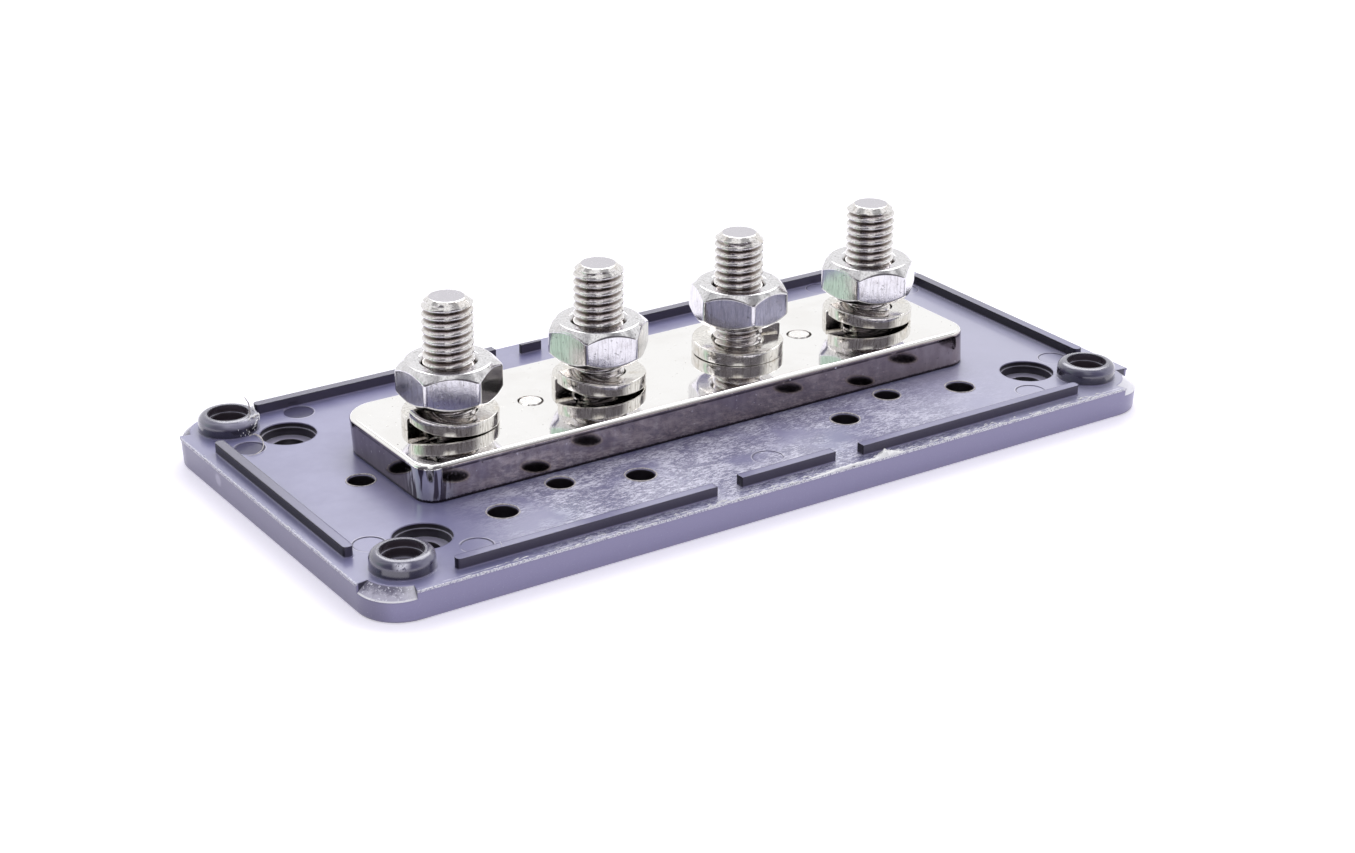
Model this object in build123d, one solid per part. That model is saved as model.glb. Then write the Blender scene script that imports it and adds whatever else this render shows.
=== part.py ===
# Power bus bar: a plated metal bar on a moulded base plate, with four M10 studs.
# Each stud carries a split spring washer and a hex nut. The cover is not fitted.
# Millimetres, +Z up. X runs along the bar and Y across it, from front to rear.
# The origin lies on the underside of the base, midway between the mounting holes.

import math
import os

from build123d import *

# Base plate
base_len = 178.0        # end to end
base_wid = 88.25        # front to rear
base_front = 45.25      # from the line of the studs to the front edge
base_t = 6.0
base_corner_r = 8.5
base_draft = 3.0        # degrees, the sides lean in towards the underside
base_edge_r = 0.6       # rounding of the underside's edge
lip_h = 0.4             # the parting line leaves a thin lip along the top edge
lip_out = 0.2

# Corner bosses for the cover's screws
boss_dx = 158.0         # spacing along X
boss_dy = 71.0          # spacing along Y
boss_r = 5.9
boss_h = 3.3
boss_round = 1.5
boss_mouth_r = 4.0
boss_mouth_depth = 1.5
boss_bore_r = 3.75
boss_hole_r = 3.0

# Scoops that fall away from each boss to the corner of the plate
scoop_start_r = 7.4
scoop_slope = 0.715     # drop for each millimetre outwards
scoop_half_angle = 33.5
scoop_turn = 43.0       # its middle, in degrees from the long side

# Mounting holes
mount_dx = 141.0
mount_dy = 54.0
mount_hole_r = 3.2
mount_sink_r = 5.5
mount_sink_depth = 1.0
mount_seat_r = 5.2
mount_seat_depth = 2.6

# Small holes through the plate, given from the middle: X, Y and radius
end_hole_x = 68.7
end_hole_r = 2.5
outer_hole_x = 53.5
outer_hole_y = 26.0
outer_hole_r = 2.78
middle_hole_x = 38.5
middle_hole_y = 21.2
middle_hole_r = 2.55
inner_hole_x = 24.0
inner_hole_y = 26.3
inner_hole_r = 2.7
hole_rim = 0.25

# Ribs that the cover's wall sits against
rib_h = 2.15
rib_t = 1.9
rib_margin = 2.9        # from a long rib's outer face to the edge of the plate
rib_end_r = 0.8
end_rib_margin = 3.3    # from an end rib's outer face to the end of the plate
end_rib_len = 54.2
end_rib_y = -0.5        # middle of the ribs at the ends
long_rib_end = 71.45    # half the distance over the ends of the long ribs
rib_ring_x = -0.4       # middle of the whole ring of ribs
rib_break_x = -0.8      # middle of the breaks in the long ribs
rib_break = 16.85       # half the break between the long ribs
mid_rib_half = 10.75
mid_rib_inset = 0.7
rear_stub_out = 11.15   # half the distance over the two short ribs at the rear
rear_stub_len = 4.8
rear_stub_t = 0.9

# Marks of the ejector pins
ejector_r = 3.0
ejector_depth = 0.12
ejector_side_x = 64.2
ejector_side_y = 35.4
ejector_end_x = 79.8
ejector_end_y = 24.6
ejector_front_x = 0.6
ejector_front_y = -32.8

# Bus bar
bar_len = 128.5
bar_wid = 33.8
bar_t = 7.5
bar_lean = 0.5          # the sheared ends lean to the left by this much at the top
bar_shift_x = -0.1
bar_shift_y = 0.1
bar_r_front_left = 4.0
bar_r_rear_left = 7.0
bar_r_front_right = 5.0
bar_r_rear_right = 4.5
bar_top_round = 0.8
bar_bottom_round = 0.3
bar_hole_gap = 0.15     # clearance round a stud, on the radius

# Studs: thin-headed bolts put in from beneath
stud_pitch = 33.0
stud_r = 4.98
stud_reach = 35.0       # from under the head to the tip
stud_point = 1.7        # chamfer at the tip
head_flats = 17.0
head_t = 3.2
head_gap = 0.25         # clearance round a head in its pocket
pocket_depth = 3.5
stud_count = 4

# Screws that hold the bar down, put in from beneath
screw_dx = 64.0
screw_r = 2.45
screw_reach = 10.1
screw_point = 0.4       # chamfer at the tip
screw_head_r = 4.6
screw_hole_gap = 0.3
screw_bar_gap = 0.05

# Hex nuts
nut_flats = 17.7
nut_h = 7.6
nut_corner_r = 1.0
nut_gap = 0.05          # clearance on the stud, on the radius
nut_mouth = 0.5
nut_face_r = 8.1        # where the chamfer meets the face
nut_chamfer = 40.0
nut_lift = [0.4, 1.6, 2.55, 1.15]       # height of each nut above its washer's raised end
nut_turn = [4.6, 14.9, 42.4, 10.2]      # degrees

# Spring washers, split and wound to the left
washer_r = 9.25
washer_bore_r = 5.2
washer_t = 2.55
washer_split = 6.0      # opening between its ends, in degrees
washer_steps = 24
washer_turn = [187.0, 178.0, -12.0, 173.0]      # direction of each raised end
washer_rise = [2.05, 2.0, 2.0, 2.0]     # lift of each raised end
washer_bend = [8.2, 3.5, 3.5, 3.5]      # how close to the raised end the lift begins

overlap = 1.0           # how far a cutter runs past a face, or a boss into the plate

base_rear = base_wid - base_front
bar_top = base_t + bar_t
stud_xs = [stud_pitch * (i - (stud_count - 1) / 2) for i in range(stud_count)]

def four(dx, dy):
    """Places at the corners of a rectangle."""
    return [(sx * dx / 2, sy * dy / 2) for sx in (-1, 1) for sy in (-1, 1)]


def drum(radius, z0, z1, x=0, y=0):
    """Upright cylinder from one height to another."""
    return Pos(x, y, z0) * Cylinder(radius, z1 - z0, align=(Align.CENTER, Align.CENTER, Align.MIN))


def hex_prism(flats, z0, z1):
    """Upright hexagonal prism, one flat facing +X."""
    outline = RegularPolygon(flats / 2, 6, major_radius=False, rotation=30)
    return Pos(0, 0, z0) * extrude(outline, z1 - z0)


def plate_outline(grow=0):
    """The rounded outline of the base at its top, made larger or smaller."""
    shape = RectangleRounded(base_len + 2 * grow, base_wid + 2 * grow, base_corner_r + grow)
    return Pos(0, (base_rear - base_front) / 2) * shape


def base_blank():
    """Plate with its draft, the rounded underside edge and the lip at the parting line."""
    lip = Pos(0, 0, base_t - lip_h) * extrude(plate_outline(), lip_h)
    wall_h = base_t - lip_h
    wall = extrude(Pos(0, 0, wall_h) * plate_outline(-lip_out), -wall_h, taper=base_draft)
    wall = fillet(wall.faces().sort_by(Axis.Z)[0].edges(), base_edge_r)
    return wall + lip


def rib(x0, x1, y0, y1, rounded):
    """One low rib on the top of the plate; its free ends are rounded where asked."""
    body = Pos((x0 + x1) / 2, (y0 + y1) / 2, base_t - overlap) * Box(
        x1 - x0, y1 - y0, rib_h + overlap, align=(Align.CENTER, Align.CENTER, Align.MIN)
    )
    corners = body.edges().filter_by(Axis.Z)
    if rounded == "left":
        corners = corners.sort_by(Axis.X)[:2]
    if rounded == "right":
        corners = corners.sort_by(Axis.X)[-2:]
    if rounded != "none":
        body = fillet(corners, rib_end_r)
    return body


def ribs():
    """All ribs along the ends, the front and the rear."""
    front_out = base_front - rib_margin
    rear_out = base_rear - rib_margin
    end_out = base_len / 2 - end_rib_margin
    end_lo = end_rib_y - end_rib_len / 2
    found = []
    for side in (-1, 1):
        x0, x1 = sorted((rib_ring_x + side * end_out, rib_ring_x + side * (end_out - rib_t)))
        found.append(rib(x0, x1, end_lo, end_lo + end_rib_len, "all"))
        lo, hi = sorted((rib_ring_x + side * long_rib_end, rib_break_x + side * rib_break))
        outer = "left" if side < 0 else "right"
        found.append(rib(lo, hi, -front_out, -front_out + rib_t, outer))
        found.append(rib(lo, hi, rear_out - rib_t, rear_out, outer))
    inset = front_out - mid_rib_inset
    found.append(rib(rib_break_x - mid_rib_half, rib_break_x + mid_rib_half, -inset, -inset + rib_t, "none"))
    face = rear_out - mid_rib_inset - rib_t
    for lo in (rib_break_x - rear_stub_out, rib_break_x + rear_stub_out - rear_stub_len):
        found.append(rib(lo, lo + rear_stub_len, face, face + rear_stub_t, "none"))
    return found


def scoop(x, y):
    """Cutter that falls away from a corner boss, closed by two radial walls."""
    far = 2 * base_corner_r + boss_r
    profile = make_face(
        Polyline(
            (scoop_start_r, 0, base_t + overlap),
            (far, 0, base_t + overlap),
            (far, 0, base_t - scoop_slope * (far - scoop_start_r)),
            (scoop_start_r, 0, base_t),
            close=True,
        )
    )
    cutter = revolve(profile, Axis.Z, revolution_arc=2 * scoop_half_angle)
    along = math.copysign(math.cos(math.radians(scoop_turn)), x)
    across = math.copysign(math.sin(math.radians(scoop_turn)), y)
    middle = math.degrees(math.atan2(across, along))
    return Pos(x, y, 0) * Rot(0, 0, middle - scoop_half_angle) * cutter


def boss(x, y):
    """Round corner boss with a rounded rim."""
    body = drum(boss_r, base_t - overlap, base_t + boss_h, x, y)
    return fillet(body.faces().sort_by(Axis.Z)[-1].edges(), boss_round)


def small_holes():
    """Places and radii of the small holes through the plate."""
    found = [(-end_hole_x, 0, end_hole_r), (end_hole_x, 0, end_hole_r)]
    for px, py in four(2, 2):
        found.append((px * outer_hole_x, py * outer_hole_y, outer_hole_r))
        found.append((px * middle_hole_x, py * middle_hole_y, middle_hole_r))
        found.append((px * inner_hole_x, py * inner_hole_y, inner_hole_r))
    return found


def base_plate():
    """The moulded base in one piece."""
    body = base_blank()
    body -= [scoop(x, y) for x, y in four(boss_dx, boss_dy)]
    body += [boss(x, y) for x, y in four(boss_dx, boss_dy)]
    body += ribs()
    cuts = []
    top = base_t + boss_h
    for x, y in four(boss_dx, boss_dy):
        cuts.append(drum(boss_hole_r, -overlap, top + overlap, x, y))
        cuts.append(drum(boss_bore_r, base_t, top + overlap, x, y))
        cuts.append(drum(boss_mouth_r, top - boss_mouth_depth, top + overlap, x, y))
    for x, y in four(mount_dx, mount_dy):
        cuts.append(drum(mount_hole_r, -overlap, base_t + overlap, x, y))
        cuts.append(drum(mount_seat_r, base_t - mount_seat_depth, base_t + overlap, x, y))
        cuts.append(drum(mount_sink_r, base_t - mount_sink_depth, base_t + overlap, x, y))
    for x, y, r in small_holes():
        cuts.append(drum(r, -overlap, base_t + overlap, x, y))
        rim = Pos(x, y, base_t - hole_rim) * Cone(
            r, r + 2 * hole_rim, 2 * hole_rim, align=(Align.CENTER, Align.CENTER, Align.MIN)
        )
        cuts.append(rim)
    marks = four(2 * ejector_side_x, 2 * ejector_side_y) + four(2 * ejector_end_x, 2 * ejector_end_y)
    marks.append((ejector_front_x, ejector_front_y))
    for x, y in marks:
        cuts.append(drum(ejector_r, base_t - ejector_depth, base_t + overlap, x, y))
    for x in stud_xs:
        pocket = hex_prism(head_flats + 2 * head_gap, -overlap, pocket_depth)
        cuts.append(Pos(x, 0, 0) * pocket)
        cuts.append(drum(stud_r + bar_hole_gap, -overlap, base_t + overlap, x, 0))
    for x in (-screw_dx / 2, screw_dx / 2):
        cuts.append(drum(screw_head_r + head_gap, -overlap, pocket_depth, x, 0))
        cuts.append(drum(screw_r + screw_hole_gap, -overlap, base_t + overlap, x, 0))
    return body - cuts


def bus_bar():
    """The plated bar, with its uneven corners and the holes for studs and screws."""
    outline = Rectangle(bar_len, bar_wid)
    radii = [
        (-1, -1, bar_r_front_left),
        (-1, 1, bar_r_rear_left),
        (1, -1, bar_r_front_right),
        (1, 1, bar_r_rear_right),
    ]
    for sx, sy, r in radii:
        corner = [v for v in outline.vertices() if v.X * sx > bar_len * 0.49 and v.Y * sy > bar_wid * 0.49]
        outline = fillet(corner, r)
    outline = Pos(bar_shift_x, bar_shift_y, base_t) * outline
    slant = math.hypot(bar_lean, bar_t)
    lean = Vector(-bar_lean, 0, bar_t).normalized()
    body = extrude(outline, slant, dir=lean)
    body = fillet(body.faces().sort_by(Axis.Z)[-1].edges(), bar_top_round)
    body = fillet(body.faces().sort_by(Axis.Z)[0].edges(), bar_bottom_round)
    cuts = [drum(stud_r + bar_hole_gap, base_t - overlap, bar_top + overlap, x, 0) for x in stud_xs]
    for x in (-screw_dx / 2, screw_dx / 2):
        cuts.append(drum(screw_r + screw_bar_gap, base_t - overlap, bar_top + overlap, x, 0))
    return body - cuts


def stud():
    """Thin-headed bolt; the thread itself is too fine to model here."""
    low = pocket_depth - head_t
    tip = pocket_depth + stud_reach
    shank = chamfer(drum(stud_r, low, tip).faces().sort_by(Axis.Z)[-1].edges(), stud_point)
    return shank + hex_prism(head_flats, low, pocket_depth)


def bar_screw():
    """Round-headed screw that pulls the bar onto the base, its tip just above the bar's top."""
    low = pocket_depth - head_t
    head = drum(screw_head_r, low, pocket_depth)
    head = chamfer(head.faces().sort_by(Axis.Z)[0].edges(), head_t / 4)
    shank = drum(screw_r, low, pocket_depth + screw_reach)
    return head + chamfer(shank.faces().sort_by(Axis.Z)[-1].edges(), screw_point)


def hex_nut():
    """Nut chamfered at both faces, standing on Z 0."""
    corner_r = nut_flats / 2 / math.cos(math.radians(30))
    rise = (corner_r - nut_face_r) * math.tan(math.radians(nut_chamfer))
    outline = Polyline(
        (0, 0, 0),
        (nut_face_r, 0, 0),
        (corner_r, 0, rise),
        (corner_r, 0, nut_h - rise),
        (nut_face_r, 0, nut_h),
        (0, 0, nut_h),
        (0, 0, 0),
    )
    turned = revolve(make_face(outline), Axis.Z)
    body = hex_prism(nut_flats, 0, nut_h)
    body = fillet(body.edges().filter_by(Axis.Z), nut_corner_r) & turned
    bore_r = stud_r + nut_gap
    body -= drum(bore_r, -overlap, nut_h + overlap)
    mouth = Cone(bore_r + 2 * nut_mouth, bore_r, 2 * nut_mouth)
    body -= mouth
    body -= Pos(0, 0, nut_h) * Rot(180, 0, 0) * mouth
    return body


def washer_height(part, rise, bend):
    """Height of the lower face; part runs from 0 at the raised end to 1 at the low end."""
    return rise * (1 - part) ** bend


def spring_washer(rise, bend):
    """Washer split at one place, its raised end beside the low one, standing on Z 0."""
    mid_r = (washer_r + washer_bore_r) / 2
    wind = 360 - washer_split
    section = Rot(90, 0, 0) * Rectangle(washer_r - washer_bore_r, washer_t)
    stations = []
    for i in range(washer_steps + 1):
        part = i / washer_steps
        z = washer_height(part, rise, bend) + washer_t / 2
        stations.append(Rot(0, 0, wind * part) * Pos(mid_r, 0, z) * section)
    return loft(stations)


def main():
    pieces = {"base_plate": base_plate(), "bus_bar": bus_bar()}
    one_stud = stud()
    one_nut = hex_nut()
    for i, x in enumerate(stud_xs):
        number = i + 1
        pieces[f"stud_{number}"] = Pos(x, 0, 0) * one_stud
        ring = spring_washer(washer_rise[i], washer_bend[i])
        pieces[f"spring_washer_{number}"] = Pos(x, 0, bar_top) * Rot(0, 0, washer_turn[i]) * ring
        seat = bar_top + washer_t + washer_rise[i] + nut_lift[i]
        pieces[f"hex_nut_{number}"] = Pos(x, 0, seat) * Rot(0, 0, nut_turn[i]) * one_nut
    one_screw = bar_screw()
    for number, x in ((1, -screw_dx / 2), (2, screw_dx / 2)):
        pieces[f"bar_screw_{number}"] = Pos(x, 0, 0) * one_screw
    os.makedirs("parts", exist_ok=True)
    for name, piece in pieces.items():
        export_step(piece, f"parts/{name}.step")


main()
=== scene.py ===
import math
import random

import bmesh
import bpy
from mathutils import Matrix, Vector, noise

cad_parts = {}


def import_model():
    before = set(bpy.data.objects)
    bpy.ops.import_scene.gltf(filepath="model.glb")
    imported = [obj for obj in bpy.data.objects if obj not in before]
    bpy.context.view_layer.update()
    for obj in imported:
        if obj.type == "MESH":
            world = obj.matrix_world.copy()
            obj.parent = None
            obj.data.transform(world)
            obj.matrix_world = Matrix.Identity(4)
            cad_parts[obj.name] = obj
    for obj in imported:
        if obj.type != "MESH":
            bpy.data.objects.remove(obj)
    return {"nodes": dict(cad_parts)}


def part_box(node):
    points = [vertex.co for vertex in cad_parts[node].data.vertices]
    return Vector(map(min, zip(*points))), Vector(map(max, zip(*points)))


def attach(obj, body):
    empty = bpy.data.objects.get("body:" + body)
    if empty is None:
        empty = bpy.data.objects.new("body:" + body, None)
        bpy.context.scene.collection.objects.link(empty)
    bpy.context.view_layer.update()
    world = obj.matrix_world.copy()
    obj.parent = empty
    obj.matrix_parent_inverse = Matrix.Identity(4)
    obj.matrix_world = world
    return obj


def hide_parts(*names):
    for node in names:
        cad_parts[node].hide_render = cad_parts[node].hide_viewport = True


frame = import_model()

# Lengths are millimetres and turns are degrees, unless a comment says otherwise
MM = 0.001
FULL_TURN = 2 * math.pi

# Base plate and bar, with x, y and radius of the small holes that have burrs
BASE_TOP = 6.0
LEFT_X = -89.0
FRONT_Y = -45.25
BOSS_X = 79.0
BOSS_Y = 35.5
CORNER_X = 80.5
CORNER_Y = 36.75
BAR_TOP = 13.5
SCREW_X = 32.0
END_HOLE = (68.7, 0.0, 2.5)
SIDE_HOLES = [(53.5, 26.0, 2.78), (38.5, 21.2, 2.55), (24.0, 26.3, 2.7)]
TORN_LUMP_X = 20.3

# Studs, each with its thread, tip and bolt head
STUD_X = [-49.5, -16.5, 16.5, 49.5]
STUD_TURN = 70.0
STUD_STEPS = 72
THREAD_STEPS = 12
PITCH = 1.6
CREST_R = 4.96
ROOT_R = 4.12
TIP_Z = 38.5
TIP_R = 3.45
TIP_SLOPE = 1.4
TIP_DISH = [(TIP_R, 0.0), (3.15, 0.0), (1.6, 0.03), (0.02, 0.04)]
THREAD_LOW_Z = BAR_TOP - 0.6
HEAD_FLATS = 17.0
HEAD_FACE_R = 8.0
HEAD_LOW_Z = 0.3
HEAD_EDGE_Z = 0.75
HEAD_TOP_Z = 3.5

# Nuts
NUT_TURN = [4.6, 14.9, 42.4, 10.2]
NUT_H = 7.6
NUT_FLATS = 17.7
NUT_CORNER = 1.0
NUT_FACE_R = 8.1
NUT_BORE_R = 5.0
NUT_MOUTH_R = 5.7
NUT_MOUTH_DEPTH = 0.75
NUT_SLOPE = math.tan(math.radians(40))

# Spring washers
WASHER_TURN = [187.0, 178.0, -12.0, 173.0]
WASHER_RISE = [2.05, 2.0, 2.0, 2.0]
WASHER_BEND = [8.2, 3.5, 3.5, 3.5]
WASHER_BORE_R = 5.2
WASHER_R = 9.25
WASHER_T = 2.55
WASHER_ROUND = 0.3
WASHER_SWEEP = 354.0
WASHER_STEPS = 150

# Camera, fitted to the photograph
PHOTO_WIDTH_PX = 1355.0
FOCAL_PX = 2476.08
SENSOR = 36.0
CAMERA_PLACE = (-253.871, -377.748, 198.793)
CAMERA_BACK = (-0.514229, -0.758972, 0.399411)
CAMERA_RIGHT = (0.829354, -0.558689, 0.006130)


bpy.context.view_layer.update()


# Meshes

def make(name, verts, faces, mat):
    """Smooth object from points in millimetres."""
    same_point_m = 1e-7
    no_length_m = 1e-8
    mesh = bpy.data.meshes.new(name)
    mesh.from_pydata([[c * MM for c in v] for v in verts], [], faces)
    mesh.update()
    bm = bmesh.new()
    bm.from_mesh(mesh)
    bmesh.ops.remove_doubles(bm, verts=bm.verts, dist=same_point_m)
    bmesh.ops.dissolve_degenerate(bm, edges=bm.edges, dist=no_length_m)
    bmesh.ops.recalc_face_normals(bm, faces=bm.faces)
    bm.to_mesh(mesh)
    bm.free()
    for polygon in mesh.polygons:
        polygon.use_smooth = True
    obj = bpy.data.objects.new(name, mesh)
    bpy.context.scene.collection.objects.link(obj)
    mesh.materials.append(mat)
    return obj


def soften(obj, width, segments, angle):
    """Rounded edges, with shading that stays flat on the flats."""
    bevel = obj.modifiers.new("edges", "BEVEL")
    bevel.width = width * MM
    bevel.segments = segments
    bevel.limit_method = "ANGLE"
    bevel.angle_limit = math.radians(angle)
    bevel.use_clamp_overlap = True
    bevel.harden_normals = True


def loops(rings, closed=False):
    """Points and faces between rings of equal length; closed joins the last ring to the first."""
    n = len(rings[0])
    verts = [p for ring in rings for p in ring]
    faces = []
    last = len(rings) if closed else len(rings) - 1
    for k in range(last):
        a = k * n
        b = (k + 1) % len(rings) * n
        for j in range(n):
            i = (j + 1) % n
            faces.append((a + j, a + i, b + i, b + j))
    return verts, faces


def capped(rings):
    """Points and faces of a tube with both ends closed."""
    n = len(rings[0])
    verts, faces = loops(rings)
    faces.append(tuple(range(n)))
    faces.append(tuple(range(len(verts) - n, len(verts))))
    return verts, faces


def add_shape(verts, faces, shape):
    """Puts one more shape's points and faces behind those of a longer list."""
    low = len(verts)
    points, more = shape
    verts += points
    faces += [tuple(i + low for i in face) for face in more]


def circle(r, z, n):
    """Level ring of points about the origin."""
    return [(r * math.cos(FULL_TURN * j / n), r * math.sin(FULL_TURN * j / n), z) for j in range(n)]


def hexagon(flats, corner, side_steps, corner_steps):
    """Outline of a hexagon with slightly rounded corners, one flat towards +X."""
    half = flats / 2
    inner = half - corner
    reach = inner * math.tan(math.radians(30))
    points = []
    for k in range(6):
        a = math.radians(60 * k)
        nx, ny = math.cos(a), math.sin(a)
        tx, ty = -ny, nx
        for s in range(side_steps):
            t = -reach + 2 * reach * s / side_steps
            points.append((nx * half + tx * t, ny * half + ty * t))
        cx, cy = nx * inner + tx * reach, ny * inner + ty * reach
        for s in range(corner_steps):
            b = a + math.radians(60 * s / corner_steps)
            points.append((cx + corner * math.cos(b), cy + corner * math.sin(b)))
    return points


def spun(points, radius):
    """The same directions as the outline's points, all at one radius."""
    out = []
    for x, y in points:
        k = radius / math.hypot(x, y)
        out.append((x * k, y * k))
    return out


def lift(points, z):
    """An outline at one height."""
    return [(x, y, z) for x, y in points]


def thread_radius(u):
    """Radius across one pitch: a broad rounded crest and a narrower rounded root."""
    crest_breadth = 0.75
    return ROOT_R + (CREST_R - ROOT_R) * (0.5 - 0.5 * math.cos(FULL_TURN * u)) ** crest_breadth


def thread(number, turn):
    """Helical skin of one stud, worn a little along its crests and cut level at both ends."""
    wear_depth = 0.06
    crest_band = 0.1
    n, m = STUD_STEPS, THREAD_STEPS
    turns = math.ceil((TIP_Z - THREAD_LOW_Z) / PITCH) + 2
    total = turns * n
    rnd = random.Random(40 + number)
    seed = Vector((rnd.random() * 50, 0, 0))
    verts = []
    for t in range(total + n + 1):
        a = FULL_TURN * t / n + math.radians(turn)
        base = THREAD_LOW_Z - PITCH + PITCH * t / n
        for k in range(m):
            z = base + PITCH * k / m
            r = thread_radius(k / m)
            wear = noise.noise(Vector((math.cos(a) * 2, math.sin(a) * 2, z * 0.9)) + seed)
            if r > CREST_R - crest_band:
                r -= max(0, wear) * wear_depth
            cap = TIP_R + TIP_SLOPE * (TIP_Z - z)
            if z > TIP_Z:
                z = TIP_Z
                cap = TIP_R
            if z < THREAD_LOW_Z:
                z = THREAD_LOW_Z
            r = min(r, cap)
            verts.append((r * math.cos(a), r * math.sin(a), z))
    faces = []
    for t in range(total):
        for k in range(m):
            a = t * m + k
            b = (t + 1) * m + k
            if k < m - 1:
                faces.append((a, b, b + 1, a + 1))
            else:
                faces.append((a, b, (t + 1 + n) * m, (t + n) * m))
    return verts, faces


def bolt_head():
    """Hexagonal head under the base, chamfered at its lower face."""
    outline = hexagon(HEAD_FLATS, 0.3, 6, 3)
    return loops([
        lift(spun(outline, 0.02), HEAD_LOW_Z),
        lift(spun(outline, HEAD_FACE_R), HEAD_LOW_Z),
        lift(outline, HEAD_EDGE_Z),
        lift(outline, HEAD_TOP_Z),
        lift(spun(outline, 4.9), HEAD_TOP_Z),
    ])


def stud(number, x, turn, mat):
    """Threaded stud with its thin head under the base."""
    verts, faces = thread(number, turn)
    add_shape(verts, faces, loops([circle(r, TIP_Z - depth, STUD_STEPS) for r, depth in TIP_DISH]))
    shank = [circle(CREST_R, HEAD_TOP_Z, STUD_STEPS), circle(CREST_R, THREAD_LOW_Z, STUD_STEPS)]
    add_shape(verts, faces, loops(shank))
    add_shape(verts, faces, bolt_head())
    obj = make(f"stud_thread_{number}", [(p[0] + x, p[1], p[2]) for p in verts], faces, mat)
    obj.data.set_sharp_from_angle(angle=math.radians(42))
    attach(obj, "base")
    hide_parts(f"stud_{number}")


def nut(number, x, turn, mat):
    """Hex nut chamfered at both faces, with its bore."""
    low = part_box(f"hex_nut_{number}")[0][2] / MM
    outline = hexagon(NUT_FLATS, NUT_CORNER, 16, 6)

    def flank(share, fall):
        """The outline at a share of the height, lowered by a multiple of the chamfer's depth."""
        ring = []
        for px, py in outline:
            depth = max(math.hypot(px, py) - NUT_FACE_R, 0) * NUT_SLOPE
            ring.append((px, py, share * NUT_H - fall * depth))
        return ring

    rings = [
        lift(spun(outline, NUT_BORE_R), NUT_MOUTH_DEPTH),
        lift(spun(outline, NUT_MOUTH_R), 0.0),
        lift(spun(outline, NUT_FACE_R), 0.0),
        flank(0.0, -1.0),
        flank(0.35, -0.3),
        flank(0.65, 0.3),
        flank(1.0, 1.0),
        lift(spun(outline, NUT_FACE_R), NUT_H),
        lift(spun(outline, NUT_MOUTH_R), NUT_H),
        lift(spun(outline, NUT_BORE_R), NUT_H - NUT_MOUTH_DEPTH),
    ]
    verts, faces = loops(rings, closed=True)
    c, s = math.cos(math.radians(turn)), math.sin(math.radians(turn))
    placed = [(x + c * p[0] - s * p[1], s * p[0] + c * p[1], low + p[2]) for p in verts]
    obj = make(f"nut_body_{number}", placed, faces, mat)
    soften(obj, width=0.28, segments=3, angle=20)
    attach(obj, f"nut_{number}")
    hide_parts(f"hex_nut_{number}")


def washer_section():
    """Radius and height round the washer's section, from its outer upper corner."""
    corner_steps = 4
    out_r = WASHER_R - WASHER_ROUND
    in_r = WASHER_BORE_R + WASHER_ROUND
    high = WASHER_T - WASHER_ROUND
    outline = []
    for k, (cx, cz) in enumerate([(out_r, high), (in_r, high), (in_r, WASHER_ROUND), (out_r, WASHER_ROUND)]):
        for s in range(corner_steps + 1):
            a = math.radians(90 * k + 90 * s / corner_steps)
            outline.append((cx + WASHER_ROUND * math.cos(a), cz + WASHER_ROUND * math.sin(a)))
    return outline


def washer(number, x, turn, mat):
    """Split spring washer, its raised end beside the low one."""
    rise, bend = WASHER_RISE[number - 1], WASHER_BEND[number - 1]
    outline = washer_section()
    rings = []
    for i in range(WASHER_STEPS + 1):
        z = rise * (1 - i / WASHER_STEPS) ** bend
        d = math.radians(WASHER_SWEEP * i / WASHER_STEPS + turn)
        rings.append([(x + r * math.cos(d), r * math.sin(d), BAR_TOP + z + q) for r, q in outline])
    verts, faces = capped(rings)
    obj = make(f"spring_ring_{number}", verts, faces, mat)
    obj.data.set_sharp_from_angle(angle=math.radians(50))
    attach(obj, "base")
    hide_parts(f"spring_washer_{number}")


# Small marks of moulding and wear

def hole_beads(mat):
    """Thin uneven beads round the small holes."""
    tube = 0.14
    beyond_hole = 0.27
    bead_steps = 72
    tube_sides = 6
    holes = [END_HOLE, (-END_HOLE[0], END_HOLE[1], END_HOLE[2])]
    for sx in (-1, 1):
        for sy in (-1, 1):
            holes += [(sx * x, sy * y, r) for x, y, r in SIDE_HOLES]
    rnd = random.Random(5)
    verts, faces = [], []
    for x, y, hole_r in holes:
        start = Vector((rnd.random() * 90, rnd.random() * 90, 0))
        track = []
        for j in range(bead_steps):
            a = FULL_TURN * j / bead_steps
            wobble = noise.noise(start + Vector((math.cos(a) * 2.2, math.sin(a) * 2.2, 0)))
            size = tube * (1 + 0.5 * wobble)
            ring = []
            for k in range(tube_sides):
                b = FULL_TURN * k / tube_sides
                r = hole_r + beyond_hole + 0.05 * wobble + size * math.cos(b)
                ring.append((x + r * math.cos(a), y + r * math.sin(a), BASE_TOP + size * math.sin(b)))
            track.append(ring)
        add_shape(verts, faces, loops(track, closed=True))
    obj = make("hole_burrs", verts, faces, mat)
    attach(obj, "base")


def curve_point(a, b, c, d, t):
    """Place on the smooth curve from b to c, with a and d as the points beyond them."""
    square = 2 * a - 5 * b + 4 * c - d
    cube = 3 * b - a - 3 * c + d
    return 0.5 * (2 * b + (c - a) * t + square * t * t + cube * t ** 3)


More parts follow.
